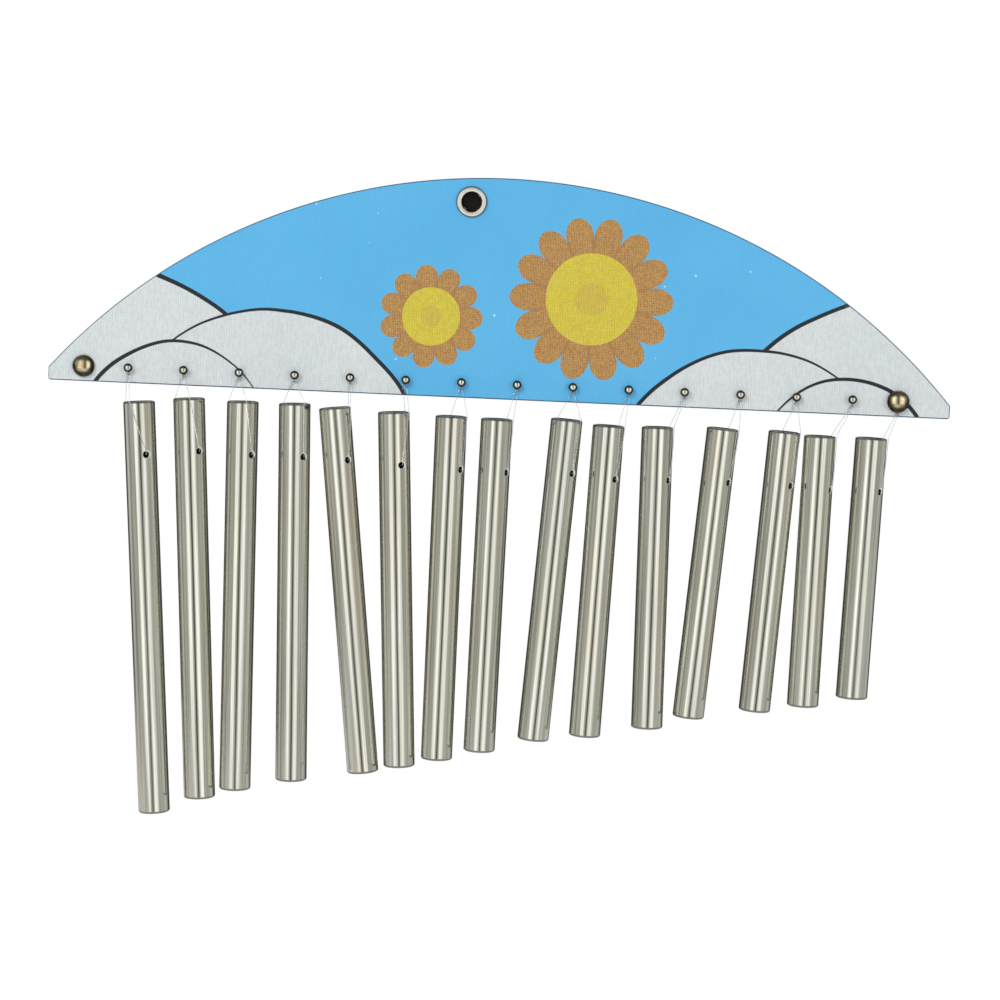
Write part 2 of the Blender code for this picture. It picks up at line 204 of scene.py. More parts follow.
# Where one level fades into the next, in degrees: round from the middle of the front, and up from level
FRONT_MIDDLE = 3.0
BACK_CEILING_FADE = (70.0, 110.0)
SIDE_FADE = (114.0, 134.0)
BACKDROP_FADE = (165.0, 176.0)
CEILING_FADE = (18.0, 42.0)
BELOW_FADE = (-16.0, -36.0)


def band(middle, half_width, soft, inner, outer):
    """Level that is inner within a band of bearings and outer beyond it."""
    away = room.calc("ABSOLUTE", room.calc("SUBTRACT", bearing, middle))
    return room.fade(away, half_width + soft, max(half_width - soft, 0.0), outer, inner)


def between(share, first, second):
    """Mix two levels."""
    return room.add("ShaderNodeMix", 0, None, i0=share, i2=first, i3=second)


ring = ROOM_LEVEL
for middle, half_width, soft, level in PANELS:
    ring = room.calc("MAXIMUM", ring, band(middle, half_width, soft, level, 0.0))
for middle, half_width, soft, left in GAPS:
    ring = room.calc("MULTIPLY", ring, band(middle, half_width, soft, left, 1.0))
to_side = room.calc("ABSOLUTE", room.calc("SUBTRACT", bearing, FRONT_MIDDLE))
ring = between(room.fade(to_side, *SIDE_FADE), ring, SIDE_LEVEL)
ring = between(room.fade(to_side, *BACKDROP_FADE), ring, 1.0)
ceiling = between(room.fade(to_side, *BACK_CEILING_FADE), CEILING_LEVEL, BACK_CEILING_LEVEL)
ring = between(room.fade(height, *CEILING_FADE), ring, ceiling)
ring = between(room.fade(height, *BELOW_FADE), ring, BELOW_LEVEL)
print("panels in the ring:", len(PANELS))

# %% World: white to the camera, the ring to metal, a soft level to the rest
DIFFUSE_LEVEL = 0.57
BLUE_SHARE = 0.955
WHITE = (1.0, 1.0, 1.0, 1.0)
paths = world.node_tree.nodes.new("ShaderNodeLightPath")
less_blue = room.calc("MULTIPLY", ring, BLUE_SHARE)
warm = room.add("ShaderNodeCombineColor", 0, None, i0=ring, i1=ring, i2=less_blue)
soft_level = (DIFFUSE_LEVEL, DIFFUSE_LEVEL, DIFFUSE_LEVEL, 1.0)
seen = room.blend(paths.outputs["Is Glossy Ray"], soft_level, warm)
seen = room.blend(paths.outputs["Is Transmission Ray"], seen, WHITE)
seen = room.blend(paths.outputs["Is Camera Ray"], seen, WHITE)
background = world.node_tree.nodes["Background"]
room.put(background.inputs["Color"], seen)
print("level for matt surfaces:", DIFFUSE_LEVEL)

# %% Soft lamps
LAMP_AIM = Vector((0.0, 0.0, -0.1))


def soft_lamp(name, place, size, power):
    """Square area lamp that lights matt surfaces only."""
    lamp = bpy.data.objects.new(name, bpy.data.lights.new(name, "AREA"))
    lamp.data.energy = power
    lamp.data.size = size
    lamp.location = place
    lamp.rotation_euler = (LAMP_AIM - Vector(place)).to_track_quat("-Z", "Y").to_euler()
    lamp.visible_camera = False
    lamp.visible_glossy = False
    scene.collection.objects.link(lamp)


soft_lamp("key_lamp", (-1.3, -1.9, 1.2), 1.2, 32.0)
soft_lamp("fill_lamp", (1.5, -1.6, 0.2), 1.2, 10.0)
soft_lamp("back_lamp", (0.6, 2.2, 0.8), 1.4, 26.0)

# %% [markdown]
# ## Floor and peg
#
# The chimes hang on a wall, so the floor lies well below them, and their soft shadow falls there. To the
# camera the floor glows a little, more so further out, so that it runs into the white backdrop. The
# photograph shows the eyelet's bore dark, so a dark peg fills it.

# %% Floor
FLOOR_HEIGHT = -1.20
FLOOR_HALF = 3.6
FLOOR_LIFT = (0.30, 0.52)
LIFT_REACH = (0.7, 3.2)
work = bmesh.new()
floor_place = Matrix.Translation((0, 0, FLOOR_HEIGHT))
bmesh.ops.create_grid(work, x_segments=2, y_segments=2, size=FLOOR_HALF, matrix=floor_place)
floor_mesh = bpy.data.meshes.new("floor")
work.to_mesh(floor_mesh)
work.free()
floor_finish, bench, shader = new_finish("pale_floor", Roughness=0.9)
spot = bench.add("ShaderNodeTexCoord", "Object")
tone = bench.blend(bench.noise(spot, 3.0), linear(244, 244, 243), linear(249, 249, 248))
bench.put(shader.inputs["Base Color"], tone)
rays = floor_finish.node_tree.nodes.new("ShaderNodeLightPath").outputs
seen_by = bench.calc("ADD", rays["Is Camera Ray"], rays["Is Transmission Ray"])
bench.put(shader.inputs["Emission Color"], WHITE)
on_floor = bench.stretch(spot, (1.0, 1.0, 0.0))
from_middle = bench.add("ShaderNodeVectorMath", "Value", {"operation": "LENGTH"}, i0=on_floor)
lift = bench.calc("MULTIPLY", seen_by, bench.fade(from_middle, *LIFT_REACH, *FLOOR_LIFT))
bench.put(shader.inputs["Emission Strength"], lift)
floor_mesh.materials.append(floor_finish)
floor = bpy.data.objects.new("floor", floor_mesh)
scene.collection.objects.link(floor)
print("floor at", FLOOR_HEIGHT)

# %% [markdown]
# ## Shaping helpers
#
# Nearly every part of this object is turned: tubes, nail heads, eyelet and washer. Each starts as a few
# profile points that are spun about Z. Points that meet at the pole or at the seam are merged, and only
# then are the normals worked out.

# %% Spin a profile
MERGE = 0.000002


def spin_profile(profile, sides, ring):
    """Bmesh of a profile of (radius, height) points spun about Z; a ring's profile is a closed loop."""
    work = bmesh.new()
    points = [work.verts.new((radius, 0.0, height)) for radius, height in profile]
    pairs = list(zip(points, points[1:]))
    if ring:
        pairs.append((points[-1], points[0]))
    edges = [work.edges.new(pair) for pair in pairs]
    bmesh.ops.spin(
        work, geom=points + edges, cent=(0, 0, 0), axis=(0, 0, 1), angle=math.tau, steps=sides, use_merge=True
    )
    bmesh.ops.remove_doubles(work, verts=work.verts, dist=MERGE)
    bmesh.ops.recalc_face_normals(work, faces=work.faces)
    return work


def arc(middle_r, middle_h, radius_r, radius_h, start, end, steps):
    """Points of an elliptical arc in a profile, from one angle to another in degrees."""
    angles = [math.radians(start + (end - start) * i / steps) for i in range(steps + 1)]
    return [(middle_r + radius_r * math.cos(a), middle_h + radius_h * math.sin(a)) for a in angles]


def show_piece(work, name, place, finish, sharp=35.0):
    """Turn a bmesh into a finished object whose place is in its mesh."""
    mesh = bpy.data.meshes.new(name)
    work.to_mesh(mesh)
    work.free()
    mesh.transform(place)
    mesh.shade_smooth()
    mesh.set_sharp_from_angle(angle=math.radians(sharp))
    mesh.materials.append(finish)
    piece = bpy.data.objects.new(name, mesh)
    scene.collection.objects.link(piece)
    return piece


def hand_over(piece, body, slot, *nodes):
    """Let a finished piece ride on its body and stand for its CAD nodes; the slot is not used."""
    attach(piece, body)
    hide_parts(*nodes)


# %% Peg in the eyelet's bore
PEG_RADIUS = 0.00472
PEG_TIP_RADIUS = 0.0044
PEG_SHOULDER = 0.0042
PEG_FRONT = 0.0045
PEG_BACK = -0.0010
PEG_SIDES = 48
face_front = Matrix.Rotation(math.radians(90), 4, "X")
peg_profile = [(0.0, PEG_FRONT), (PEG_TIP_RADIUS, PEG_FRONT), (PEG_RADIUS, PEG_SHOULDER)]
peg_profile += [(PEG_RADIUS, PEG_BACK), (0.0, PEG_BACK)]
# The peg's near-black tone also stands in for the shade inside the eyelet's bore: painted shade.
peg_finish, bench, shader = new_finish("peg_rubber_and_bore_shade", Roughness=0.8)
spot = bench.add("ShaderNodeTexCoord", "Object")
tone = bench.blend(bench.noise(spot, 900.0), linear(24, 21, 20), linear(46, 42, 40))
bench.put(shader.inputs["Base Color"], tone)
peg = show_piece(spin_profile(peg_profile, PEG_SIDES, False), "peg", face_front, peg_finish)
print("peg is", round(2000 * PEG_RADIUS, 2), "mm thick")

# %% [markdown]
# ## Measuring the tubes
#
# Each tube hangs a little differently, so its place is measured on its CAD node: the middles of its end
# rings give the axis, and the points of the cross hole give the way the tube is turned.

# %% Measure a tube
TUBES = 15
SMALL_NAILS = 14
# How far below its rim a tube has only the points of its cross hole
HOLE_ZONE = (0.018, 0.036)
# How far short of the last point an end ring's other points may lie: the axis is first a guess, then sure
RING_SLACKS = (0.0003, 0.0001, 0.0001)


def end_middle(points, axis, slack):
    """Middle of the ring of points that lies furthest along the axis."""
    along = points @ axis
    return points[along > along.max() - slack].mean(axis=0)


def measure_tube(number):
    """Place, length, radii and hole drop of a tube, from its CAD node."""
    points = np.array([tuple(v.co) for v in frame["nodes"][f"tube_{number:02d}"].data.vertices])
    points = np.unique(points.round(7), axis=0)
    axis = np.linalg.svd(points - points.mean(axis=0))[2][0]
    axis = axis * np.sign(axis[2])
    for slack in RING_SLACKS:
        top = end_middle(points, axis, slack)
        foot = end_middle(points, -axis, slack)
        axis = (top - foot) / np.linalg.norm(top - foot)
    down = (top - points) @ axis
    out = points - top + np.outer(down, axis)
    reach = np.linalg.norm(out, axis=1)
    hole = (down > HOLE_ZONE[0]) & (down < HOLE_ZONE[1])
    forward = np.array((0.0, -1.0, 0.0))
    forward -= axis * (forward @ axis)
    forward /= np.linalg.norm(forward)
    side = np.cross(axis, forward)
    turns = np.arctan2(out[hole] @ side, out[hole] @ forward)
    turn = 0.5 * math.atan2(np.sin(2 * turns).sum(), np.cos(2 * turns).sum())
    across = forward * math.cos(turn) + side * math.sin(turn)
    place = Matrix.Identity(4)
    for column, vector in enumerate((across, np.cross(axis, across), axis, top)):
        for row in range(3):
            place[row][column] = vector[row]
    rim = down < RING_SLACKS[-1]
    return {
        "place": place,
        "length": float(np.linalg.norm(top - foot)),
        "radius": float(reach.max()),
        "bore": float(reach[rim].min()),
        "hole_drop": float(down[hole].mean()),
        "turn": math.degrees(turn),
    }


tubes = [measure_tube(number) for number in range(1, TUBES + 1)]
for number, tube in enumerate(tubes, 1):
    print(number, {key: round(value, 5) for key, value in tube.items() if key != "place"})

# %% [markdown]
# ## Drawn aluminium
#
# The tubes are cut from drawn stock: bright metal with faint lines along its length, a slight wander of
# the surface and a slightly warm tone. The lines must follow each leaning tube, so the finish reads an
# attribute that holds the tube's own coordinates, squeezed along its length. Two more attributes mark
# where the saw and the drill left their traces: the rims and the bore are dull, the cross hole is fresh.
# The rims and the bore are also darker, and that darker tone is painted shade.

# %% Aluminium finish
aluminium, bench, shader = new_finish("drawn_aluminium", Metallic=1.0, Roughness=0.14)
own = bench.add("ShaderNodeAttribute", "Vector", {"attribute_name": "on_tube"})
dull_and_shaded = bench.add("ShaderNodeAttribute", "Fac", {"attribute_name": "dull_and_shaded"})
fresh = bench.add("ShaderNodeAttribute", "Fac", {"attribute_name": "fresh_cut"})
fine_lines = bench.noise(bench.stretch(own, (1.0, 1.0, 0.012)), 2600.0, 3.0, 0.6)
broad_lines = bench.noise(bench.stretch(own, (1.0, 1.0, 0.01)), 900.0, 2.0, 0.5)
wander = bench.noise(bench.stretch(own, (1.0, 1.0, 0.09)), 170.0, 2.0, 0.5)
zones = bench.noise(bench.stretch(own, (1.0, 1.0, 0.05)), 170.0, 2.0, 0.5)
tone = bench.blend(bench.fade(broad_lines, 0.34, 0.66), linear(214, 214, 203), linear(250, 250, 241))
tone = bench.blend(bench.fade(fine_lines, 0.3, 0.7, 0.22, 0.0), tone, linear(140, 138, 130))
tone = bench.blend(bench.fade(zones, 0.48, 0.7, 0.0, 0.45), tone, linear(232, 218, 198))
# Rims and bore: rougher for the saw marks, and darker as painted shade.
tone = bench.blend(bench.calc("MULTIPLY", dull_and_shaded, 0.85), tone, linear(104, 102, 98))
bench.put(shader.inputs["Base Color"], bench.blend(fresh, tone, linear(250, 250, 246)))
worked = bench.calc("MAXIMUM", dull_and_shaded, fresh)
rough = bench.calc("MULTIPLY_ADD", worked, 0.16, bench.fade(broad_lines, 0.3, 0.75, 0.09, 0.15))
bench.put(shader.inputs["Roughness"], rough)
depth = bench.calc("MULTIPLY_ADD", broad_lines, 0.21, bench.calc("MULTIPLY", fine_lines, 0.12))
depth = bench.calc("MULTIPLY_ADD", wander, 2.6, depth)
bump = bench.add("ShaderNodeBump", 0, None, Strength=1.0, Distance=0.00002, Height=depth)
bench.put(shader.inputs["Normal"], bump)
print("finish:", aluminium.name)

# %% Shape of a tube
TUBE_SIDES = 96
RIM_ROUND = 0.0010
RIM_STEPS = 5
BORE_EASE = 0.1 * RIM_ROUND
BESIDE_RIM = RIM_ROUND + 0.0003
BESIDE_HOLE = 0.0026


def tube_profile(tube):
    """Section of a tube's wall, with extra points beside its rims and hole to keep the shading even."""
    outer, inner, length, drop = tube["radius"], tube["bore"], tube["length"], tube["hole_drop"]
    points = arc(outer - RIM_ROUND, -RIM_ROUND, RIM_ROUND, RIM_ROUND, 90, 0, RIM_STEPS)
    points += [(outer, -BESIDE_RIM), (outer, BESIDE_HOLE - drop)]
    points += [(outer, -BESIDE_HOLE - drop), (outer, BESIDE_RIM - length)]
    points += arc(outer - RIM_ROUND, RIM_ROUND - length, RIM_ROUND, RIM_ROUND, 0, -90, RIM_STEPS)
    points += [(inner + BORE_EASE, -length), (inner, BORE_EASE - length), (inner, BESIDE_RIM - length)]
    points += [(inner, -BESIDE_HOLE - drop), (inner, BESIDE_HOLE - drop)]
    points += [(inner, -BESIDE_RIM), (inner, -BORE_EASE), (inner + BORE_EASE, 0.0)]
    return points


# %% Cross hole
HOLE_RADIUS = 0.00155
HOLE_SIDES = 32
# The hole's mouth widens by HOLE_EDGE over EDGE_RISE, from EDGE_DEPTH below the tube's surface
HOLE_EDGE = 0.00060
EDGE_DEPTH = 0.0008
EDGE_RISE = 0.0005
EDGE_STEPS = 6
DRILL_PAST = 0.002


def hole_drill(tube):
    """Drill for the cross hole: a round bar that widens where it breaks the tube's surface."""
    reach = tube["radius"]
    wide = HOLE_RADIUS + HOLE_EDGE
    half = [(0.0, reach + DRILL_PAST), (wide, reach + DRILL_PAST)]
    half += arc(wide, reach - EDGE_DEPTH, HOLE_EDGE, EDGE_RISE, 90, 180, EDGE_STEPS)
    profile = half + [(radius, -height) for radius, height in reversed(half)]
    drill = spin_profile(profile, HOLE_SIDES, False)
    fresh_cut = drill.faces.layers.float.new("fresh_cut")
    for face in drill.faces:
        face[fresh_cut] = 1.0
    bmesh.ops.transform(drill, matrix=Matrix.Rotation(math.radians(90), 4, "Y"), verts=drill.verts)
    bmesh.ops.translate(drill, vec=(0.0, 0.0, -tube["hole_drop"]), verts=drill.verts)
    return drill


def drilled(work, drill):
    """Take the drill out of the work, and return the result as a new bmesh."""
    holders = []
    for name, shape in (("blank", work), ("drill", drill)):
        mesh = bpy.data.meshes.new(name)
        shape.to_mesh(mesh)
        shape.free()
        holders.append(bpy.data.objects.new(name, mesh))
        scene.collection.objects.link(holders[-1])
    cut = holders[0].modifiers.new("hole", "BOOLEAN")
    cut.operation = "DIFFERENCE"
    cut.solver = "EXACT"
    cut.object = holders[1]
    result = bmesh.new()
    result.from_object(holders[0], bpy.context.evaluated_depsgraph_get())
    for holder in holders:
        bpy.data.objects.remove(holder, do_unlink=True)
    return result


# %% Make the tubes
PATTERN_STEP = 0.31
WALL_SLACK = 0.00002
BORE_SLACK = 0.00005
RIM_END = 1.02 * RIM_ROUND
TOP_RIM_DULL_AND_SHADE = 0.6


def dullness_and_shade(tube, spot):
    """Share of saw marks and painted shade at a point: none on the wall, some at the top rim, all at the
    foot and inside.
    """
    from_axis = math.hypot(spot.x, spot.y)
    if from_axis > tube["radius"] - WALL_SLACK and RIM_END < -spot.z < tube["length"] - RIM_END:
        return 0.0
    if spot.z > -RIM_END and from_axis > tube["bore"] + BORE_SLACK:
        return TOP_RIM_DULL_AND_SHADE
    return 1.0


def make_tube(number):
    """One tube, drilled across, with its own coordinates, its dull places and its painted shade kept in
    attributes.
    """
    tube = tubes[number - 1]
    blank = spin_profile(tube_profile(tube), TUBE_SIDES, True)
    blank.faces.layers.float.new("fresh_cut")
    work = drilled(blank, hole_drill(tube))
    own = work.verts.layers.float_vector.new("on_tube")
    dull_and_shaded = work.verts.layers.float.new("dull_and_shaded")
    for vert in work.verts:
        vert[own] = vert.co + Vector((0.0, 0.0, PATTERN_STEP * number))
        vert[dull_and_shaded] = dullness_and_shade(tube, vert.co)
    piece = show_piece(work, f"chime_{number:02d}", tube["place"], aluminium)
    hand_over(piece, f"tube_{number:02d}", "aluminium", f"tube_{number:02d}")
    return piece


chimes = [make_tube(number) for number in range(1, TUBES + 1)]
print("faces in the first tube:", len(chimes[0].data.polygons))

# %% [markdown]
# ## Nylon lines
#
# Each line is a closed loop. It goes round the nail behind its head, is knotted, runs down both sides of
# the tube and through the cross hole. Under the tube's weight it is taut, so it takes the shortest way
# round the tube to the knot, and where the board's lower edge stands in the way it bends over that edge.
# The loop and the knot stay on the board, and the two strands swing.

# %% Route of a strand
LINE_RADIUS = 0.0002
LINE_GAP = 0.0003
STRAND_SPREAD = 0.00055
RIM_LIFT = 0.0005
STRAND_STEPS = 24
WRAP_LIMIT = 150
EDGE_CLEAR = 0.0001
FACE_CLEAR = 0.0002
knots = {}
for joint in frame["joints"]:
    if joint["name"].endswith("_swing"):
        knots[int(joint["child"][-2:])] = Vector(joint["pos_m"])


def strand_points(number, hole_turn):
    """Points of a taut strand from the cross hole up the tube's side to the rim."""
    tube = tubes[number - 1]
    beside = tube["radius"] + LINE_GAP + LINE_RADIUS
    rise = tube["hole_drop"] + RIM_LIFT
    knot = tube["place"].inverted() @ knots[number]

    def way(turn):
        rim = Vector((beside * math.cos(turn), beside * math.sin(turn), RIM_LIFT))
        return math.hypot(rise, beside * (turn - hole_turn)) + (knot - rim).length

    rim_turn = min((hole_turn + math.radians(step) for step in range(-WRAP_LIMIT, WRAP_LIMIT + 1)), key=way)
    points = []
    for i in range(STRAND_STEPS + 1):
        share = i / STRAND_STEPS
        turn = hole_turn + share * (rim_turn - hole_turn)
        spot = (beside * math.cos(turn), beside * math.sin(turn), share * rise - tube["hole_drop"])
        points.append(tube["place"] @ Vector(spot))
    return points


def over_edge(knot, rim):
    """Bend of a strand where the board's lower edge stands in its way, as a list of one point or none."""
    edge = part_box("board")[0].z - LINE_RADIUS - EDGE_CLEAR
    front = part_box("print_film")[0].y - LINE_RADIUS - FACE_CLEAR
    spot = knot.lerp(rim, (knot.z - edge) / (knot.z - rim.z))
    return [Vector((spot.x, front, spot.z))] if spot.y > front else []


print("knot of the first tube at", knots[1].to_tuple(4))

# %% Nylon finish
nylon, bench, shader = new_finish("clear_nylon", Roughness=0.12, IOR=1.36, Transmission_Weight=0.85)
spot = bench.add("ShaderNodeTexCoord", "Object")
milky = bench.noise(spot, 600.0, 2.0, 0.5)
bench.put(shader.inputs["Base Color"], bench.blend(milky, linear(205, 212, 216), linear(240, 243, 244)))
bump = bench.add("ShaderNodeBump", 0, None, Strength=0.3, Distance=0.00003, Height=bench.noise(spot, 4000.0))
bench.put(shader.inputs["Normal"], bump)
print("finish:", nylon.name)

# %% Draw a line


def draw_line(name, *routes):
    """Mesh of round line along one or more routes, each a list of points."""
    curve = bpy.data.curves.new(name, "CURVE")
    curve.dimensions = "3D"
    curve.bevel_depth = LINE_RADIUS
    curve.bevel_resolution = 2
    curve.use_fill_caps = True
    for points in routes:
        spline = curve.splines.new("POLY")
        spline.points.add(len(points) - 1)
        for point, place in zip(spline.points, points):
            point.co = (*place, 1.0)
    guide = bpy.data.objects.new(name, curve)
    scene.collection.objects.link(guide)
    bpy.context.view_layer.update()
    round_line = guide.evaluated_get(bpy.context.evaluated_depsgraph_get())
    mesh = bpy.data.meshes.new_from_object(round_line)
    work = bmesh.new()
    work.from_mesh(mesh)
    bpy.data.objects.remove(guide, do_unlink=True)
    bmesh.ops.remove_doubles(work, verts=work.verts, dist=MERGE)
    bmesh.ops.recalc_face_normals(work, faces=work.faces)
    return show_piece(work, name, Matrix.Identity(4), nylon, 60.0)


# %% Lines round the nails and down the tubes
SMALL_SHANK = 0.0006
LARGE_SHANK = 0.0009
LOOP_HALF_ANGLE = math.radians(140)
LOOP_STEPS = 12
KNOT_RADIUS = 0.00062
KNOT_DEPTH_SHARE = 0.7
KNOT_TOP = 0.0005
KNOT_PITCH = 0.00045
POINTS_PER_TURN = 12
KNOT_STEPS = 30
CUT_END = [Vector((-0.0007, -0.0002, -0.0005)), Vector((-0.0006, 0.0001, -0.0008))]


def nail_box(number):
    """Box of the nail that a tube hangs from."""
    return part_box(f"nail_{number:02d}" if number <= SMALL_NAILS else "large_nail_right")


def loop_points(number):
    """Points of the loop round the nail's shank, open towards the knot."""
    low, high = nail_box(number)
    shank = SMALL_SHANK if number <= SMALL_NAILS else LARGE_SHANK
    loop = shank + LINE_GAP + LINE_RADIUS
    nail_height = 0.5 * (low.z + high.z)
    knot = knots[number]
    points = [knot + Vector((-STRAND_SPREAD, 0.0, 0.0))]
    for i in range(LOOP_STEPS + 1):
        angle = LOOP_HALF_ANGLE * (2 * i / LOOP_STEPS - 1)
        points.append(Vector((knot.x + loop * math.sin(angle), knot.y, nail_height + loop * math.cos(angle))))
    points.append(knot + Vector((STRAND_SPREAD, 0.0, 0.0)))
    return points


def knot_points(number):
    """Two and a half turns of line wound round both strands, and a short cut end."""
    points = []
    for i in range(KNOT_STEPS + 1):
        angle = math.tau * i / POINTS_PER_TURN
        across = KNOT_RADIUS * math.cos(angle)
        deep = KNOT_DEPTH_SHARE * KNOT_RADIUS * math.sin(angle)
        points.append(knots[number] + Vector((across, deep, KNOT_TOP - KNOT_PITCH * i / POINTS_PER_TURN)))
    for step in CUT_END:
        points.append(points[-1] + step)
    return points


def make_line(number):
    """Loop and knot on the board, and both strands on the tube."""
    knot = knots[number]
    near = strand_points(number, 0.0)
    far = strand_points(number, math.pi)
    left = knot - Vector((STRAND_SPREAD, 0.0, 0.0))
    right = knot + Vector((STRAND_SPREAD, 0.0, 0.0))
    route = [left, *over_edge(left, far[-1]), *reversed(far), *near, *over_edge(right, near[-1]), right]
    loop = draw_line(f"loop_{number:02d}", loop_points(number), knot_points(number))
    hand_over(loop, "board", "nylon", f"line_{number:02d}")
    strands = draw_line(f"strands_{number:02d}", route)
    hand_over(strands, f"tube_{number:02d}", "nylon", f"line_{number:02d}")
    return loop, strands


lines = [make_line(number) for number in range(1, TUBES + 1)]
print("line pieces:", sum(len(pieces) for pieces in lines))

# %% [markdown]
# ## Nails and eyelet
#
# Small nickel pins hold all lines but the last. That one hangs from the right one of two larger antique
# brass nails. Their heads are domes, so a spun quarter ellipse gives the shape. The eyelet is one pressed
# tube: a rounded flange in front, a barrel, and a curl that grips a washer behind the board.

# %% Nickel and brass finishes


def plated_finish(name, light, dark, patina_and_shade, patina_and_shade_span, roughness, wear, metallic=1.0):
    """Plated metal: duller patches, hair-fine scratches, and a dark band towards the rim that is partly
    patina and partly painted shade.
    """
    finish, bench, shader = new_finish(name, Metallic=metallic)
    spot = bench.add("ShaderNodeTexCoord", "Object")
    patches = bench.noise(spot, 260.0, 2.0, 0.5)
    scratches = bench.noise(bench.stretch(spot, (1.0, 1.0, 0.08), (0.3, 0.9, 0.2)), 5200.0, 2.0, 0.5)
    from_crown = bench.add("ShaderNodeAttribute", "Fac", {"attribute_name": "from_crown"})
    patina_and_shade_share = bench.calc("MULTIPLY_ADD", patches, 0.12, bench.calc("SUBTRACT", from_crown, 0.06))
    tone = bench.blend(bench.fade(patches, 0.35, 0.7), light, dark)
    # Darker towards the rim and on the lower side: partly patina, partly painted shade.
    tone = bench.blend(bench.fade(patina_and_shade_share, *patina_and_shade_span, 0.0, 0.95), tone, patina_and_shade)
    bench.put(shader.inputs["Base Color"], tone)
    bench.put(shader.inputs["Roughness"], bench.fade(patches, 0.3, 0.75, roughness, roughness + wear))
    bump = bench.add("ShaderNodeBump", 0, None, Strength=0.05, Distance=0.00002, Height=scratches)
    bench.put(shader.inputs["Normal"], bump)
    return finish


def mark_crown(work, middle, reach, lift=0.0):
    """Write on each point how far it lies from the crown, as a share of the reach to the rim. A lift moves
    the cleanest spot up, so the lower side takes more of the darkening, as painted shade."""
    layer = work.verts.layers.float.new("from_crown")
    for vert in work.verts:
        vert[layer] = min(1.0, abs(math.hypot(vert.co.x, vert.co.y - lift) - middle) / reach)
    return work


nickel = plated_finish(
    "nickel_plate", linear(246, 242, 230), linear(226, 221, 208), linear(26, 24, 21),
    patina_and_shade_span=(0.44, 0.80), roughness=0.08, wear=0.07
)
brass = plated_finish(
    "aged_brass", linear(250, 236, 198), linear(214, 196, 154), linear(26, 20, 13),
    patina_and_shade_span=(0.40, 0.80), roughness=0.09, wear=0.07
)
satin_nickel = plated_finish(
    "satin_nickel", linear(250, 246, 238), linear(238, 232, 220), linear(60, 54, 48),
    patina_and_shade_span=(0.62, 0.98), roughness=0.36, wear=0.08, metallic=0.8
)
print("finishes:", nickel.name, brass.name, satin_nickel.name)

# %% Small nails
NAIL_POINT = 0.0012
SMALL_HEAD = 0.0017
SMALL_RIM = 0.00025
SMALL_DOME = 0.00145
SMALL_SIDES = 32


def nail_place(low, high):
    """Matrix that stands a turned piece on its nail's middle, with +Z out of the board's front."""
    return Matrix.Translation((0.5 * (low.x + high.x), 0.0, 0.5 * (low.z + high.z))) @ face_front


def make_small_nail(number):
    """Domed pin, from its head's crown to its point in the board."""
    name = f"nail_{number:02d}"
    low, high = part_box(name)
    radius = 0.5 * (high.x - low.x)
    crown, point = -low.y, -high.y
    seat = crown - SMALL_HEAD
    profile = arc(0.0, seat + SMALL_RIM, radius, SMALL_DOME, 90, 0, 10)
    profile[0] = (0.0, crown)
    profile += arc(radius - SMALL_RIM, seat + SMALL_RIM, SMALL_RIM, SMALL_RIM, 0, -90, 3)[1:]
    profile += [(SMALL_SHANK, seat), (SMALL_SHANK, point + NAIL_POINT), (0.0, point)]
    work = mark_crown(spin_profile(profile, SMALL_SIDES, False), 0.0, 0.92 * radius, 0.12 * radius)
    piece = show_piece(work, f"pin_{number:02d}", nail_place(low, high), nickel, 50.0)
    hand_over(piece, "board", "nickel", name)
    return piece


pins = [make_small_nail(number) for number in range(1, SMALL_NAILS + 1)]
print("small nails:", len(pins))

# %% Large nails
LARGE_HEAD = 0.0032
LARGE_DOME = 0.0030
LARGE_RIM = 0.0002
LARGE_ROLL = 0.0003
HOLLOW_DEPTH = 0.0024
HOLLOW_END = 79
LARGE_SIDES = 64


def make_large_nail(side):
    """Nail with a hollow dome, whose rim is rolled a little."""
    name = "large_nail_" + side
    low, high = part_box(name)
    radius = 0.5 * (high.x - low.x)
    crown, point = -low.y, -high.y
    rim = crown - LARGE_HEAD
    profile = arc(0.0, rim + LARGE_RIM, radius, LARGE_DOME, 90, 0, 16)
    profile[0] = (0.0, crown)
    profile += arc(radius - LARGE_ROLL, rim + LARGE_RIM, LARGE_ROLL, LARGE_RIM, 0, -180, 5)[1:]
    profile += arc(0.0, rim + LARGE_RIM, radius - 2 * LARGE_ROLL, HOLLOW_DEPTH, 0, HOLLOW_END, 10)[1:]
    profile += [(LARGE_SHANK, point + NAIL_POINT), (0.0, point)]
    work = mark_crown(spin_profile(profile, LARGE_SIDES, False), 0.0, 1.08 * radius, 0.2 * radius)
    piece = show_piece(work, "dome_nail_" + side, nail_place(low, high), brass, 50.0)
    hand_over(piece, "board", "antique_brass", name)
    return piece


dome_nails = [make_large_nail(side) for side in ("left", "right")]
print("large nails:", [nail.name for nail in dome_nails])

# %% Eyelet and washer
FLANGE = 0.00765
FLANGE_EDGE = 0.0003
FLANGE_DOME = 0.0009
CURL = 0.0013
BORE = 0.0048
WALL = 0.0004
BARREL_HOLE = BORE + WALL + 0.0003
WASHER_EASE = 0.00018
EYELET_SIDES = 96


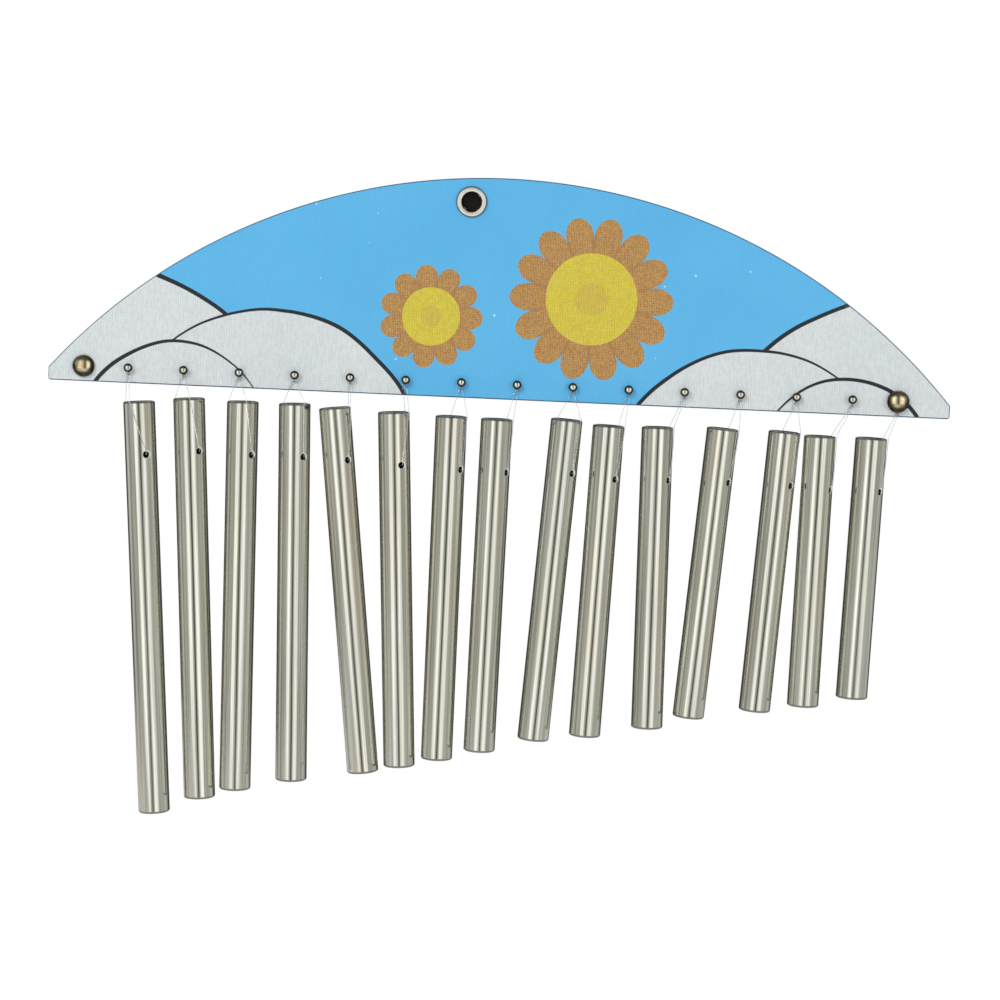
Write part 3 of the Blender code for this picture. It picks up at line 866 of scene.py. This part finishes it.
def make_eyelet():
    """Pressed eyelet: rounded flange, barrel and curl."""
    low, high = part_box("eyelet")
    front, back = -low.y, -high.y
    seat = front - FLANGE_EDGE - FLANGE_DOME
    half = 0.5 * (FLANGE - BORE)
    profile = arc(BORE + half, seat + FLANGE_EDGE, half, FLANGE_DOME, 180, 0, 16)
    profile += arc(FLANGE - FLANGE_EDGE, seat + FLANGE_EDGE, FLANGE_EDGE, FLANGE_EDGE, 0, -90, 4)[1:]
    profile += [(BORE + WALL, seat), (BORE + WALL, back + 2 * WALL)]
    profile += arc(BORE + WALL + CURL, back + WALL, WALL, WALL, 90, -90, 6)
    profile += [(BORE + WALL, back), (BORE, back + WALL)]
    work = mark_crown(spin_profile(profile, EYELET_SIDES, True), BORE + half, 0.86 * half)
    piece = show_piece(work, "eyelet_ring", face_front, satin_nickel, 50.0)
    hand_over(piece, "board", "nickel", "eyelet")
    return piece


def make_washer():
    """Flat washer with an eased outer edge."""
    low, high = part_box("eyelet_washer")
    front, back = -low.y, -high.y
    outer = 0.5 * (high.x - low.x)
    flat_end = outer - WASHER_EASE
    profile = [(BARREL_HOLE, front), (flat_end, front), (outer, front - WASHER_EASE)]
    profile += [(outer, back + WASHER_EASE), (flat_end, back), (BARREL_HOLE, back)]
    piece = show_piece(spin_profile(profile, EYELET_SIDES, True), "washer", face_front, satin_nickel)
    hand_over(piece, "board", "nickel", "eyelet_washer")
    return piece


eyelet_ring = make_eyelet()
washer = make_washer()
print("eyelet and washer faces:", len(eyelet_ring.data.polygons), len(washer.data.polygons))

# %% [markdown]
# ## Painted board
#
# The board is fibreboard with rolled paint on its edges and back. Its shape is right in CAD, and only the
# arch and its edges gain from more points, so it is cut again from a finer outline and its edges bevelled.

# %% Board paint
paint, bench, shader = new_finish("rolled_paint", Roughness=0.5)
spot = bench.add("ShaderNodeTexCoord", "Object")
roller = bench.noise(spot, 900.0, 3.0, 0.6)
drift = bench.noise(spot, 35.0, 2.0, 0.5)
tone = bench.blend(bench.fade(drift, 0.35, 0.65), linear(60, 97, 128), linear(64, 101, 132))
bench.put(shader.inputs["Base Color"], tone)
bench.put(shader.inputs["Roughness"], bench.fade(roller, 0.3, 0.7, 0.42, 0.6))
bump = bench.add("ShaderNodeBump", 0, None, Strength=0.5, Distance=0.00012, Height=roller)
bench.put(shader.inputs["Normal"], bump)
print("finish:", paint.name)

# %% Arched outline
board_low, board_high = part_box("board")
film_low, film_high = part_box("print_film")
END_HEIGHT = 0.0066
CORNER = 0.0015
LEAST_CORNER = 0.0002
CORNER_STEPS = 6
ARCH_STEPS = 120
middle_x = 0.5 * (board_low.x + board_high.x)
half_width = 0.5 * (board_high.x - board_low.x)
rise = board_high.z - board_low.z
sagitta = rise - END_HEIGHT
arch_radius = (half_width ** 2 + sagitta ** 2) / (2 * sagitta)
print("arch radius", round(arch_radius, 4), "board", round(2 * half_width, 4), "by", round(rise, 4))


def arch_sheet(inset, back, thickness):
    """Plate cut to the arch, less an inset all round, as a bmesh with its flat back at the given depth."""
    half = half_width - inset
    radius = arch_radius - inset
    corner = max(CORNER - inset, LEAST_CORNER)
    outline = arc(-half + corner, inset + corner, corner, corner, 180, 270, CORNER_STEPS)
    outline += arc(half - corner, inset + corner, corner, corner, 270, 360, CORNER_STEPS)
    end_angle = math.degrees(math.acos(half / radius))
    outline += arc(0.0, rise - arch_radius, radius, radius, end_angle, 180 - end_angle, ARCH_STEPS)
    work = bmesh.new()
    corners = [work.verts.new((middle_x + x, -back, board_low.z + z)) for x, z in outline]
    face = work.faces.new(corners)
    made = bmesh.ops.extrude_face_region(work, geom=[face])
    moved = [item for item in made["geom"] if isinstance(item, bmesh.types.BMVert)]
    bmesh.ops.translate(work, vec=(0.0, -thickness, 0.0), verts=moved)
    bmesh.ops.recalc_face_normals(work, faces=work.faces)
    return work


def barrel_drill():
    """Round bar through board and film, for the eyelet's barrel."""
    drill = bmesh.new()
    size = {"segments": 64, "radius1": BARREL_HOLE, "radius2": BARREL_HOLE, "depth": 0.05}
    bmesh.ops.create_cone(drill, cap_ends=True, matrix=face_front, **size)
    return drill


# %% Make the board
EDGE_ROUND = 0.0008
work = arch_sheet(0.0, 0.0, -board_low.y)
flats = [face for face in work.faces if abs(face.normal.y) > 0.9]
rims = list({edge for face in flats for edge in face.edges})
bmesh.ops.bevel(work, geom=rims, offset=EDGE_ROUND, affect="EDGES", segments=3, profile=0.5, material=-1)
work = drilled(work, barrel_drill())
board_piece = show_piece(work, "painted_board", Matrix.Identity(4), paint, 40.0)
hand_over(board_piece, "board", "board_paint", "board")
print("board faces:", len(board_piece.data.polygons))

# %% [markdown]
# ## Printed film
#
# A printed film with a linen grain covers the front. The print here is a plain picture of its own: pale
# hills with drawn outlines at both ends, and two orange flowers under a blue sky. It is drawn in the
# material with distances from points on the board, so it stays sharp at any size.

# %% Flat position on the print
film_finish, bench, shader = new_finish("printed_linen_film", Roughness=0.42)
spot = bench.add("ShaderNodeTexCoord", "Object")
parts = film_finish.node_tree.nodes.new("ShaderNodeSeparateXYZ")
bench.put(parts.inputs[0], spot)
flat = bench.add("ShaderNodeCombineXYZ", 0, None, X=parts.outputs["X"], Z=parts.outputs["Z"])
wobble = bench.noise(spot, 28.0, 1.0, 0.4)
INK_EDGE = 0.00016


def away_from(x, z):
    """Distance on the print from a point."""
    return bench.add("ShaderNodeVectorMath", "Value", {"operation": "DISTANCE"}, i0=flat, i1=(x, 0.0, z))


def angle_about(x, z):
    """Angle round a point of the print, in radians."""
    up = bench.calc("SUBTRACT", parts.outputs["Z"], z)
    along = bench.calc("SUBTRACT", parts.outputs["X"], x)
    return bench.calc("ARCTAN2", up, along)


def inside(distance, edge):
    """1 within an edge, 0 outside it, with the small blur of ink."""
    return bench.fade(bench.calc("SUBTRACT", distance, edge), INK_EDGE, -INK_EDGE)


# %% Sky and hills
SKY = linear(86, 177, 226)
PALE = linear(216, 222, 222)
PALE_SHADE = linear(206, 213, 215)
INK = linear(22, 30, 38)
# Each hill: middle, radius and the angle at which its outline is thickest, in degrees
HILLS = [
    (-0.188, -0.146, 0.108, 60),
    (-0.098, -0.136, 0.078, 30),
    (-0.146, -0.122, 0.046, 150),
    (0.232, -0.158, 0.122, 120),
    (0.147, -0.142, 0.074, 160),
    (0.192, -0.124, 0.044, 40),
]
picture = bench.blend(bench.fade(bench.noise(spot, 16.0), 0.3, 0.7), SKY, linear(82, 173, 223))
for x, z, radius, thick_at in HILLS:
    distance = away_from(x, z)
    edge = bench.calc("MULTIPLY_ADD", wobble, 0.004, radius - 0.002)
    swell = bench.calc("COSINE", bench.calc("SUBTRACT", angle_about(x, z), math.radians(thick_at)))
    pen = bench.calc("MULTIPLY_ADD", swell, 0.0005, 0.00055)
    chalk = bench.blend(bench.noise(spot, 20.0), PALE, PALE_SHADE)
    picture = bench.blend(inside(distance, edge), picture, chalk)
    off_line = bench.calc("ABSOLUTE", bench.calc("SUBTRACT", distance, edge))
    picture = bench.blend(inside(off_line, pen), picture, INK)
print("hills:", len(HILLS))

# %% Flowers
YELLOW = linear(216, 200, 40)
DEEP_YELLOW = linear(198, 178, 34)
ORANGE = linear(190, 146, 62)
DARK_ORANGE = linear(158, 108, 54)
# Each flower: middle, reach of its petals, number of petals
FLOWERS = [(0.062, -0.046, 0.041, 14), (-0.018, -0.058, 0.026, 11)]
grain = bench.noise(spot, 1500.0, 2.0, 0.7)
for x, z, reach, petals in FLOWERS:
    distance = away_from(x, z)
    angle = angle_about(x, z)
    wave = bench.calc("ABSOLUTE", bench.calc("COSINE", bench.calc("MULTIPLY", angle, 0.5 * petals)))
    tip = bench.calc("MULTIPLY_ADD", bench.calc("POWER", wave, 0.45), 0.3 * reach, 0.7 * reach)
    petal = bench.blend(bench.fade(grain, 0.35, 0.65), DARK_ORANGE, ORANGE)
    petal = bench.blend(bench.fade(wave, 0.0, 0.35, 0.75, 0.0), petal, DARK_ORANGE)
    picture = bench.blend(inside(distance, tip), picture, petal)
    centre = bench.blend(bench.fade(grain, 0.3, 0.7), DEEP_YELLOW, YELLOW)
    picture = bench.blend(inside(distance, 0.56 * reach), picture, centre)
    picture = bench.blend(bench.calc("MULTIPLY", inside(distance, 0.2 * reach), 0.35), picture, ORANGE)
print("flowers:", len(FLOWERS))

# %% Linen grain with painted shade and highlight, scratches and gloss
# The weave shows fully in the pale and yellow inks, less in the blue, and not in the drawn outlines
THREAD = 0.00085
CROOKED = 0.0010
WEAVE_HOLLOW_SHADE = (0.02, 0.03, 0.04, 1.0)
CREST_HIGHLIGHT_AND_CHIP = (0.95, 0.96, 0.96, 1.0)


def weave_lines(place, drift):
    """Wave across threads that lie side by side, each a little crooked."""
    crooked = bench.calc("MULTIPLY_ADD", bench.noise(drift, 190.0, 2.0, 0.5), CROOKED, place)
    return bench.calc("SINE", bench.calc("MULTIPLY", crooked, math.tau / THREAD))


red_ink = bench.add("ShaderNodeSeparateColor", "Red", None, Color=picture)
shows = bench.fade(red_ink, 0.01, 0.23)
across_wave = weave_lines(parts.outputs["X"], bench.stretch(spot, (1.0, 1.0, 0.2)))
down_wave = weave_lines(parts.outputs["Z"], bench.stretch(spot, (0.2, 1.0, 1.0)))
uneven = bench.noise(bench.stretch(spot, (1.0, 1.0, 0.15)), 900.0, 2.0, 0.5)
linen = bench.calc("MULTIPLY", bench.calc("MULTIPLY_ADD", down_wave, 0.7, across_wave), uneven)
slubs = bench.noise(bench.stretch(spot, (1.0, 1.0, 0.45)), 760.0, 2.0, 0.65)
scratch_run = bench.noise(bench.stretch(spot, (1.0, 1.0, 0.03), (0.0, 0.9, 0.0)), 900.0, 2.0, 0.5)
scratch_where = bench.noise(spot, 45.0, 1.0, 0.5)
scratch = bench.calc("MULTIPLY", bench.fade(scratch_run, 0.72, 0.76), bench.fade(scratch_where, 0.56, 0.62))
chip = bench.fade(bench.noise(spot, 330.0, 0.0, 0.5), 0.84, 0.88)
picture = bench.blend(bench.calc("MULTIPLY", scratch, 0.35), picture, linear(150, 158, 162))
# Darker in the weave's hollows and in random patches, lighter on its crests: painted shade and painted
# highlight.
hollow_shade = bench.calc("ADD", bench.fade(linen, -0.7, 0.1, 0.17, 0.0), bench.fade(slubs, 0.35, 0.65, 0.09, 0.0))
picture = bench.blend(bench.calc("MULTIPLY", hollow_shade, shows), picture, WEAVE_HOLLOW_SHADE)
picture = bench.blend(bench.calc("MULTIPLY", bench.fade(linen, -0.1, 0.7, 0.0, 0.12), shows), picture, CREST_HIGHLIGHT_AND_CHIP)
picture = bench.blend(bench.calc("MULTIPLY", chip, 0.4), picture, CREST_HIGHLIGHT_AND_CHIP)
bench.put(shader.inputs["Base Color"], picture)
bench.put(shader.inputs["Roughness"], bench.fade(uneven, 0.3, 0.7, 0.38, 0.5))
bump = bench.add("ShaderNodeBump", 0, None, Strength=0.25, Distance=0.00008, Height=linen)
bench.put(shader.inputs["Normal"], bump)
print("linen threads", THREAD * 1000, "mm apart")

# %% Make the film
FILM_INSET = film_low.z - board_low.z
work = arch_sheet(FILM_INSET, -film_high.y, film_high.y - film_low.y)
work = drilled(work, barrel_drill())
film_piece = show_piece(work, "printed_film", Matrix.Identity(4), film_finish, 40.0)
hand_over(film_piece, "board", "printed_film", "print_film")
print("film lies", round(-film_low.y * 1000, 2), "mm in front of the wall plane")
